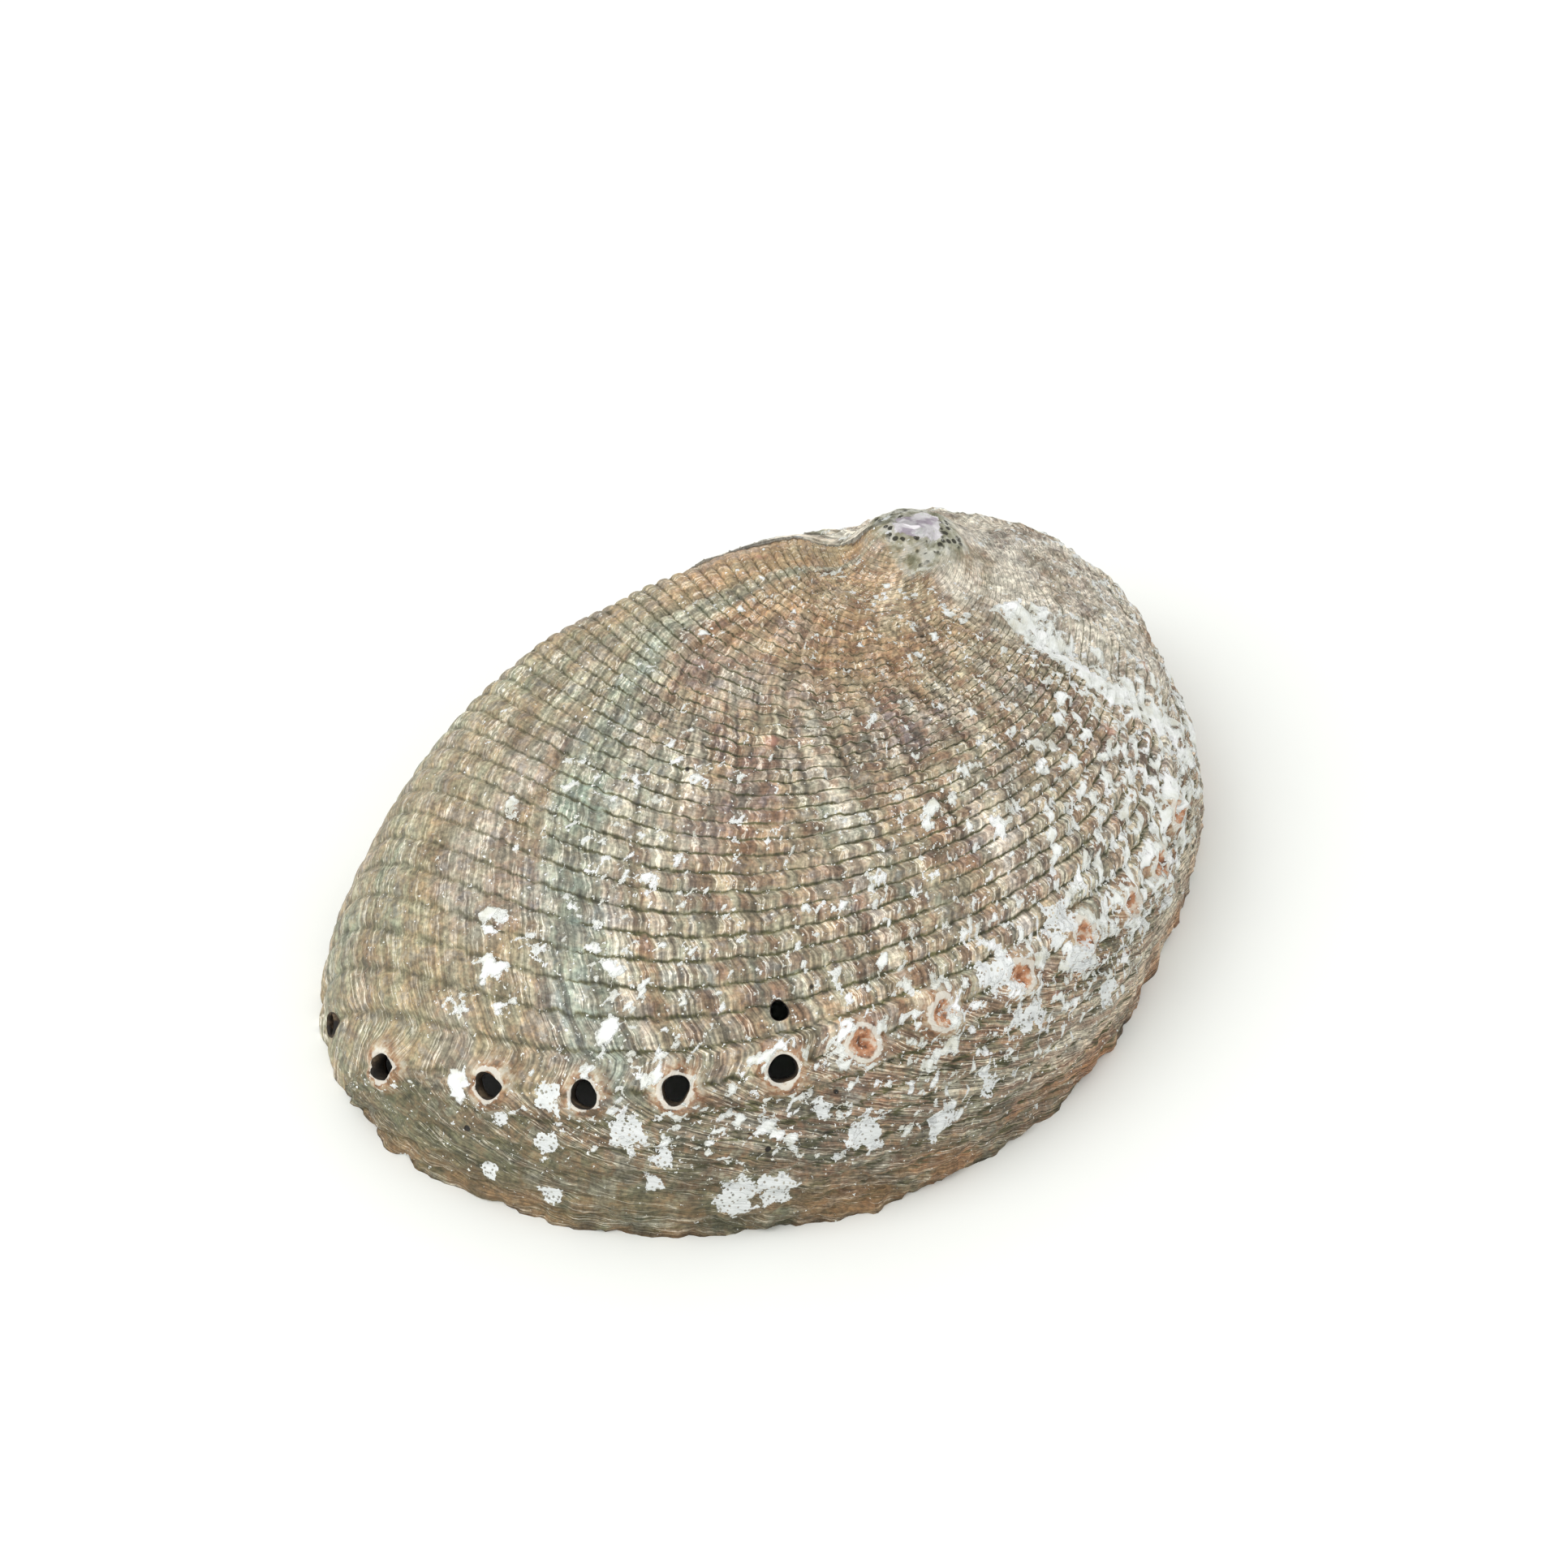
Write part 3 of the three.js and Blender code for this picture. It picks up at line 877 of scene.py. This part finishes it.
def fleck_group():
    """Sharp-edged islands of crust, and a sprinkle of far smaller flecks between them."""
    tree, given, out = group("crust_flecks", ("Lines", "Amount"), ("Mask", "Thickness"))
    place = object_place(tree)
    ragged = less(tree, noise(tree, place, 1500.0, 4.0, 0.7))
    level = linear(tree, ragged, 0.5, given["Amount"])
    level = linear(tree, less(tree, given["Lines"]), 0.25, level)
    islands = step(tree, level, 0.455, 0.475)
    small = times(tree, less(tree, noise(tree, place, 2600.0, 3.0, 0.6)), 1.3)
    dusted = linear(tree, given["Amount"], 0.25, small)
    wire(tree, out["Mask"], calc(tree, "MAXIMUM", islands, step(tree, dusted, 0.25, 0.29)))
    wire(tree, out["Thickness"], step(tree, level, 0.44, 0.58))
    return tree


def spot_group():
    """Round spots of one size, some of them missing: pores, pits and stains."""
    tree, given, out = group("spots", ("Scale", "Share", "Radius", "Softness"), ("Mask",))
    cells = node(tree, "ShaderNodeTexVoronoi", {"Vector": object_place(tree), "Scale": given["Scale"]})
    chance = node(tree, "ShaderNodeSeparateColor", {0: cells.outputs["Color"]}).outputs[0]
    kept = calc(tree, "LESS_THAN", chance, given["Share"])
    edge = calc(tree, "SUBTRACT", given["Radius"], given["Softness"])
    near = rest(tree, step(tree, cells.outputs["Distance"], edge, given["Radius"]))
    wire(tree, out["Mask"], times(tree, kept, near))
    return tree


growth_lines = growth_line_group()
crust_flecks = fleck_group()
spots = spot_group()

PITS = {"Scale": 330.0, "Share": 0.10, "Radius": 0.11, "Softness": 0.04}
STAINS = {"Scale": 190.0, "Share": 0.06, "Radius": 0.16, "Softness": 0.1}
GOUGES = {"Scale": 1500.0, "Share": 0.85, "Radius": 0.46, "Softness": 0.16}
PORES = {"Scale": 2500.0, "Share": 1.0, "Radius": 0.36, "Softness": 0.12}
YEARS_SPAN = 180.0  # degrees behind the lip covered by the colours of YEARS
YEARS = (
    (0.0, "827e62"), (0.06, "8e8a6a"), (0.12, "9a8e70"), (0.138, "8a8a72"), (0.155, "93a898"),
    (0.18, "a69f8b"), (0.24, "a39780"), (0.33, "a49882"), (0.40, "c4b8a0"), (0.56, "cfc6ae"),
    (0.66, "cdc6b6"), (0.80, "c6beac"),
)
STREAK_COLOURS = (
    (0.34, "4c3b2a"), (0.42, "826a50"), (0.48, "a3977c"), (0.54, "a2a592"), (0.62, "e0dac7"),
)
DRIFT_COLOURS = ((0.34, "6f8880"), (0.45, "a3987c"), (0.53, "a27b54"), (0.64, "857a88"))
MOTTLE_COLOURS = ((0.36, "5d6e58"), (0.46, "a09a80"), (0.54, "ad7448"), (0.62, "8c8296"))
WALL_COLOURS = (
    (0.36, "4b4a30"), (0.43, "6c6f52"), (0.49, "937f63"), (0.54, "a5734c"), (0.59, "9b9783"),
    (0.66, "c2bfae"),
)
RIM_COLOURS = ((0.36, "5f4532"), (0.47, "a87650"), (0.56, "c9b294"), (0.66, "e6decb"))
FILLING_COLOURS = ((0.34, "5a3c2c"), (0.43, "a86f4c"), (0.53, "c98f68"), (0.64, "e4d4c0"))
KNOB_COLOURS = ((0.38, "6f7358"), (0.48, "a9ab94"), (0.58, "d6d8cc"))
BARE_COLOURS = ((0.4, "b9adb9"), (0.5, "f0ecee"))
CRUST_COLOURS = ((0.3, "d3d2c2"), (0.5, "eef1ec"), (0.7, "ffffff"))
OLDEST = (104.0, 126.0)  # ages between which the shell turns old, and so on
YOUNG = (34.0, 50.0)
NEWEST = (10.0, 24.0)
TEAL_AGE = 27.4
HOLE_RINGS = (("open_hole", 1.42, 0.75), ("closed_hole", 1.55, 0.55))  # reach, strength of stain
COIL_MARKS = (
    "cord", "growth", "row", "age", "below", "spire", "open_hole", "closed_hole", "pause", "mats",
    "crust_level",
)


def coil_values(tree):
    """A point's place in the coil, and the masks that several colours share."""
    coil = {name: attribute(tree, name) for name in COIL_MARKS}
    coil["place"] = object_place(tree)
    coil["inward"] = times(tree, coil["row"], -1.0)
    coil["oldest"] = step(tree, coil["age"], *OLDEST)
    coil["wall"] = step(tree, coil["below"], 0.005, 0.12)
    coil["mottle"] = noise(tree, coil["place"], 420.0, 4.0, 0.65)
    coil["unevenness"] = times(tree, less(tree, coil["mottle"]), 2.0)
    return coil


def add_coil_lines(tree, coil):
    """Noise along old lips, and the groove of a slightly crooked cord."""
    cord, growth = coil["cord"], coil["growth"]
    on_wall = step(tree, coil["below"], 0.0, 0.1)
    crooked = noise(tree, vector_of(tree, times(tree, growth, 0.6), cord), 1.0, 3.0, 0.6)
    wavy_cord = linear(tree, less(tree, crooked), linear(tree, on_wall, 0.9, 0.5), cord)
    coil["groove"] = groove_of(tree, wavy_cord)
    bowed = linear(tree, coil["groove"], RELIEF_INPUTS["Ridge bow"], growth)
    own = times(tree, calc(tree, "FLOOR", wavy_cord), 7.31)

    def growth_noise(across, per_mm):
        inputs = {"Growth": bowed, "Cord": across, "Row": coil["row"], "Lines per mm": per_mm}
        return place_group(tree, growth_lines, inputs)["Lines"]

    long_lines = growth_noise(times(tree, cord, 0.22), 2.6)
    short_lines = growth_noise(times(tree, cord, 1.6), 3.2)
    difference = calc(tree, "SUBTRACT", short_lines, long_lines)
    coil["lines"] = linear(tree, difference, linear(tree, on_wall, 0.25, 0.38), long_lines)
    coil["streaks"] = growth_noise(times(tree, cord, 0.05), 0.42)
    coil["blocks"] = growth_noise(own, 0.62)
    coil["patchy"] = growth_noise(calc(tree, "ADD", own, 3.3), 0.45)
    coil["threads"] = growth_noise(times(tree, cord, 6.0), 0.8)


def year_colour(tree, coil):
    """From the lip back to the spire, warmer towards the middle."""
    place, age, oldest = coil["place"], coil["age"], coil["oldest"]
    ground = ramp(tree, calc(tree, "DIVIDE", age, YEARS_SPAN), YEARS)
    banded = linear(tree, step(tree, age, 8.0, 30.0), 0.42, 0.22)
    banded = linear(tree, oldest, -0.32, banded)
    ground = blend(tree, banded, ground, ramp(tree, coil["streaks"], STREAK_COLOURS))
    ground = tint(tree, times(tree, coil["pause"], 0.62), ground, "4a4430")
    warmth = linear(tree, oldest, -0.35, 0.5)
    ground = tint(tree, times(tree, step(tree, coil["inward"], 0.7, 1.5), warmth), ground, "cfa574")
    ground = blend(tree, 0.24, ground, ramp(tree, noise(tree, place, 130.0, 2.0), DRIFT_COLOURS))
    patch = noise(tree, place, 640.0, 3.0, 0.6)
    return blend(tree, 0.17, ground, ramp(tree, patch, MOTTLE_COLOURS))


def wall_colour(tree, coil, ground):
    """Olive and dark when young, paler further back, rusty at the margin; and the teal band."""
    place, age, below, wall = (coil[name] for name in ("place", "age", "below", "wall"))
    patch = noise(tree, place, 300.0, 4.0, 0.62)
    ground = blend(tree, times(tree, wall, 0.5), ground, ramp(tree, patch, WALL_COLOURS))
    teal = times(tree, step(tree, away(tree, age, TEAL_AGE), 4.0, 1.5), rest(tree, wall))
    ground = tint(tree, times(tree, teal, 0.28), ground, "84a79c")
    young = rest(tree, step(tree, age, *YOUNG))
    newest = rest(tree, step(tree, age, *NEWEST))
    ground = tint(tree, times(tree, wall, times(tree, newest, 0.4)), ground, "626b4b")
    ground = tint(tree, times(tree, wall, linear(tree, young, 0.36, 0.1)), ground, "3f3c2a")
    pale = times(tree, step(tree, below, 0.25, 0.6), rest(tree, young), 0.55)
    ground = tint(tree, pale, ground, "d8cfba")
    broken = step(tree, noise(tree, place, 240.0, 3.0), 0.36, 0.56)
    margin = times(tree, step(tree, below, 0.55, 0.95), broken)
    rust = linear(tree, step(tree, age, 4.0, 40.0), 0.45, 0.25)
    ground = tint(tree, times(tree, margin, rust), ground, "a8703f")
    chalk = step(tree, noise(tree, place, 210.0, 4.0, 0.65), 0.38, 0.56)
    return tint(tree, times(tree, coil["oldest"], chalk, 0.62), ground, "dcd7c8")


def block_colour(tree, coil, ground):
    """Red-brown blocks along the crests, each cord with its own rhythm."""
    crest = rest(tree, step(tree, coil["groove"], 0.55, 0.85))
    block = times(tree, step(tree, coil["blocks"], 0.50, 0.58), crest)
    grown = linear(tree, step(tree, coil["age"], 20.0, 42.0), 0.45, 0.12)
    grown = linear(tree, coil["oldest"], -0.3, grown)
    return tint(tree, times(tree, block, grown), ground, "7d5a43")


def line_colour(tree, coil, ground):
    """Light and dark growth lines, finer threads along the cords, and patches of dark olive at the bottom of
    the grooves.
    """
    lines, place = coil["lines"], coil["place"]
    edges = step(tree, away(tree, lines, 0.545), 0.022, 0.006)
    edges = times(tree, edges, step(tree, coil["patchy"], 0.40, 0.62), 0.55)
    ground = tint(tree, edges, ground, "efe9d8")
    strong = linear(tree, step(tree, coil["age"], 8.0, 34.0), 0.5, 0.5)
    strong = linear(tree, step(tree, coil["inward"], 0.8, 1.8), -0.25, strong)
    strong = linear(tree, coil["oldest"], -0.25, strong)
    shade = times(tree, less(tree, step(tree, lines, 0.34, 0.66)), 1.05)
    shade = linear(tree, shade, strong, 0.92)
    grain = noise(tree, place, 2400.0, 3.0, 0.7)
    for value, low, high, depth, base in (
        (coil["threads"], 0.34, 0.62, 0.36, 0.80),
        (grain, 0.30, 0.66, 0.60, 0.70),
        (coil["mottle"], 0.32, 0.62, 0.50, 0.75),
    ):
        shade = times(tree, shade, linear(tree, step(tree, value, low, high), depth, base))
    # Darker olive at the bottom of the grooves, in patches.
    dark_groove_patches = times(tree, step(tree, coil["groove"], 0.74, 0.96), step(tree, coil["patchy"], 0.32, 0.52))
    ground = tint(tree, times(tree, dark_groove_patches, strong), ground, "4c4a2c")
    return node(tree, "ShaderNodeVectorMath", {0: ground, "Scale": shade}, operation="SCALE").outputs[0]


def hole_colour(tree, coil, ground):
    """Stained rims with a pale ring, and the fillings of the closed holes."""
    place, unevenness = coil["place"], coil["unevenness"]
    flush = ramp(tree, noise(tree, place, 900.0, 3.0, 0.6), RIM_COLOURS)
    for hole, edge, share in HOLE_RINGS:
        far = calc(tree, "ADD", coil[hole], unevenness)
        around = rest(tree, step(tree, far, edge, edge + 1.5))
        ground = blend(tree, times(tree, around, share), ground, flush)
        ring = step(tree, away(tree, far, edge - 0.2), 0.32, 0.18)
        ground = tint(tree, times(tree, ring, 0.8), ground, "e2ded2")
    filling = ramp(tree, noise(tree, place, 1100.0, 3.0, 0.6), FILLING_COLOURS)
    far = calc(tree, "ADD", coil["closed_hole"], unevenness)
    return blend(tree, times(tree, rest(tree, step(tree, far, 0.95, 1.2)), 0.85), ground, filling)


def spire_colour(tree, coil, ground):
    """The worn spire: gouges tinted near black as painted shade inside them, round a spot of bare pearl."""
    place = coil["place"]
    crooked = linear(tree, less(tree, coil["mottle"]), 4.0, coil["spire"])
    knob = times(tree, rest(tree, step(tree, crooked, 3.4, 5.2)), 0.75)
    ground = blend(tree, knob, ground, ramp(tree, noise(tree, place, 900.0, 3.0), KNOB_COLOURS))
    halo = times(tree, step(tree, crooked, 1.9, 2.3), rest(tree, step(tree, crooked, 3.2, 4.0)))
    gouges = times(tree, place_group(tree, spots, GOUGES)["Mask"], halo)
    # Painted shade: the gouges are tinted near black for the shade inside them.
    ground = tint(tree, times(tree, gouges, 0.95), ground, "2a2816")
    bare = rest(tree, step(tree, crooked, 1.9, 2.2))
    ground = blend(tree, bare, ground, ramp(tree, noise(tree, place, 700.0, 2.0), BARE_COLOURS))
    return ground, gouges, bare


def crust_colour(tree, coil, ground, flecks):
    """White lime crust, and grey-white sea mats full of pores."""
    ragged = linear(tree, noise(tree, coil["place"], 800.0, 4.0, 0.65), 2.2, coil["mats"])
    pores = times(tree, place_group(tree, spots, PORES)["Mask"], 0.75)
    net = times(tree, step(tree, ragged, 1.62, 1.66), rest(tree, pores))
    ground = blend(tree, flecks["Mask"], ground, ramp(tree, coil["mottle"], CRUST_COLOURS))
    return tint(tree, net, ground, "e3e6e4")


def weathered_skin(material):
    tree = material.node_tree
    shader = tree.nodes["Principled BSDF"]
    coil = coil_values(tree)
    add_coil_lines(tree, coil)
    pits = place_group(tree, spots, PITS)["Mask"]
    stains = place_group(tree, spots, STAINS)["Mask"]
    flecks = place_group(tree, crust_flecks, {"Lines": coil["lines"], "Amount": coil["crust_level"]})

    ground = wall_colour(tree, coil, year_colour(tree, coil))
    ground = line_colour(tree, coil, block_colour(tree, coil, ground))
    ground = tint(tree, times(tree, stains, 0.5), ground, "d09a86")
    # The pits are real but only a bump; their near-black tint is painted shade inside them.
    ground = hole_colour(tree, coil, tint(tree, pits, ground, "1c1812"))
    ground, gouges, bare = spire_colour(tree, coil, ground)
    wire(tree, shader.inputs["Base Color"], crust_colour(tree, coil, ground, flecks))

    rough = linear(tree, bare, -0.35, linear(tree, flecks["Mask"], 0.15, 0.68))
    wire(tree, shader.inputs["Roughness"], rough)
    height = calc(tree, "ADD", coil["lines"], times(tree, flecks["Thickness"], 0.5))
    height = linear(tree, coil["threads"], 0.6, height)
    sunk = calc(tree, "SUBTRACT", height, calc(tree, "ADD", pits, gouges))
    bump = node(tree, "ShaderNodeBump", {"Height": sunk, "Distance": 0.00022})
    wire(tree, shader.inputs["Normal"], bump.outputs[0])


weathered_skin(finishes[SKIN])

# ---- mother of pearl ----
# The inside and the flat edge: thin shining layers that turn pink, green and blue as they swing
# with the growth lines. The edge is duller, since it is where the dark skin ends.
PEARL_COLOURS = (
    (0.0, "dfe4df"), (0.2, "d9c3cf"), (0.38, "b9d6c8"), (0.55, "e6e3d6"), (0.7, "a9c4d4"),
    (0.85, "d6c0d6"), (1.0, "dfe4df"),
)
INSIDE_DULLNESS, INSIDE_ROUGHNESS = 0.12, 0.17
EDGE_DULLNESS, EDGE_ROUGHNESS = 0.55, 0.32


def growth_layers(tree, per_mm):
    marks = {key: attribute(tree, key.lower()) for key in ("Growth", "Cord", "Row")}
    return place_group(tree, growth_lines, {**marks, "Lines per mm": per_mm})["Lines"]


def pearl(material, dullness, roughness):
    tree = material.node_tree
    shader = tree.nodes["Principled BSDF"]
    drift = noise(tree, object_place(tree), 40.0, 3.0)
    bands = linear(tree, drift, 3.2, times(tree, attribute(tree, "growth"), 0.035))
    colour = ramp(tree, calc(tree, "FRACT", bands), PEARL_COLOURS)
    layers = growth_layers(tree, 0.6)
    colour = tint(tree, times(tree, step(tree, layers, 0.3, 0.7), dullness), colour, "6f6a5c")
    wire(tree, shader.inputs["Base Color"], colour)
    wire(tree, shader.inputs["Roughness"], linear(tree, layers, 0.25, roughness))
    shader.inputs["Metallic"].default_value = 0.3
    shader.inputs["Coat Weight"].default_value = 0.4
    height = linear(tree, drift, 2.0, layers)
    bump = node(tree, "ShaderNodeBump", {"Height": height, "Strength": 0.35, "Distance": 0.0003})
    wire(tree, shader.inputs["Normal"], bump.outputs[0])


pearl(finishes[PEARL], INSIDE_DULLNESS, INSIDE_ROUGHNESS)
pearl(finishes[EDGE], EDGE_DULLNESS, EDGE_ROUGHNESS)

# ---- the hole walls ----
# Where a hole runs through the sheet, its walls are painted near black and dark brown: painted shade for the
# shaded inside of the hole, with the edges of its layers showing as darker bands.
HOLE_SHADE_COLOURS = ((0.34, "17130e"), (0.46, "2f271d"), (0.55, "4b3b2a"), (0.66, "78664e"))


def shaded_hole_wall(material):
    tree = material.node_tree
    shader = tree.nodes["Principled BSDF"]
    # Painted shade: near-black to dark brown colours stand in for the shade inside the hole.
    wall_shade_noise = noise(tree, object_place(tree), 900.0, 4.0, 0.65)
    layers = growth_layers(tree, 2.0)
    shadow = times(tree, step(tree, layers, 0.4, 0.6), 0.4)
    colour = tint(tree, shadow, ramp(tree, wall_shade_noise, HOLE_SHADE_COLOURS), "231e17")
    wire(tree, shader.inputs["Base Color"], colour)
    wire(tree, shader.inputs["Roughness"], linear(tree, wall_shade_noise, 0.3, 0.6))
    height = calc(tree, "ADD", wall_shade_noise, layers)
    bump = node(tree, "ShaderNodeBump", {"Height": height, "Strength": 0.6, "Distance": 0.0002})
    wire(tree, shader.inputs["Normal"], bump.outputs[0])


shaded_hole_wall(finishes[BORE])

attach(shell, "root")
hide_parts("abalone_shell")

# ---- floor and light ----
# A plain white table under one broad soft light from the upper left, with a little fill all round.
FLOOR_SIZE = 4.0
FLOOR_COLOUR = (0.93, 0.945, 0.91, 1)
FLOOR_ROUGHNESS = 0.8
FILL = 0.95
WINDOW_PLACE = (-0.9, 0.35, 1.1)
WINDOW_SIZE = 1.1
WINDOW_POWER = 8

half = FLOOR_SIZE / 2
corners = [(-half, -half, 0), (half, -half, 0), (half, half, 0), (-half, half, 0)]
floor_mesh = bpy.data.meshes.new("floor")
floor_mesh.from_pydata(corners, [], [(0, 1, 2, 3)])
floor = bpy.data.objects.new("floor", floor_mesh)
bpy.context.scene.collection.objects.link(floor)
floor_finish = bpy.data.materials.new("white_table")
floor_finish.use_nodes = True
floor_shader = floor_finish.node_tree.nodes["Principled BSDF"]
floor_shader.inputs["Base Color"].default_value = FLOOR_COLOUR
floor_shader.inputs["Roughness"].default_value = FLOOR_ROUGHNESS
floor_mesh.materials.append(floor_finish)

world = bpy.data.worlds.new("studio")
world.use_nodes = True
world.node_tree.nodes["Background"].inputs["Color"].default_value = (1, 1, 1, 1)
world.node_tree.nodes["Background"].inputs["Strength"].default_value = FILL
bpy.context.scene.world = world
bpy.context.scene.view_settings.view_transform = "Standard"

window_data = bpy.data.lights.new("window", "AREA")
window_data.size = WINDOW_SIZE
window_data.energy = WINDOW_POWER
window = bpy.data.objects.new("window", window_data)
window.location = WINDOW_PLACE
window.rotation_mode = "QUATERNION"
window.rotation_quaternion = (-Vector(WINDOW_PLACE)).to_track_quat("-Z", "Y")
bpy.context.scene.collection.objects.link(window)
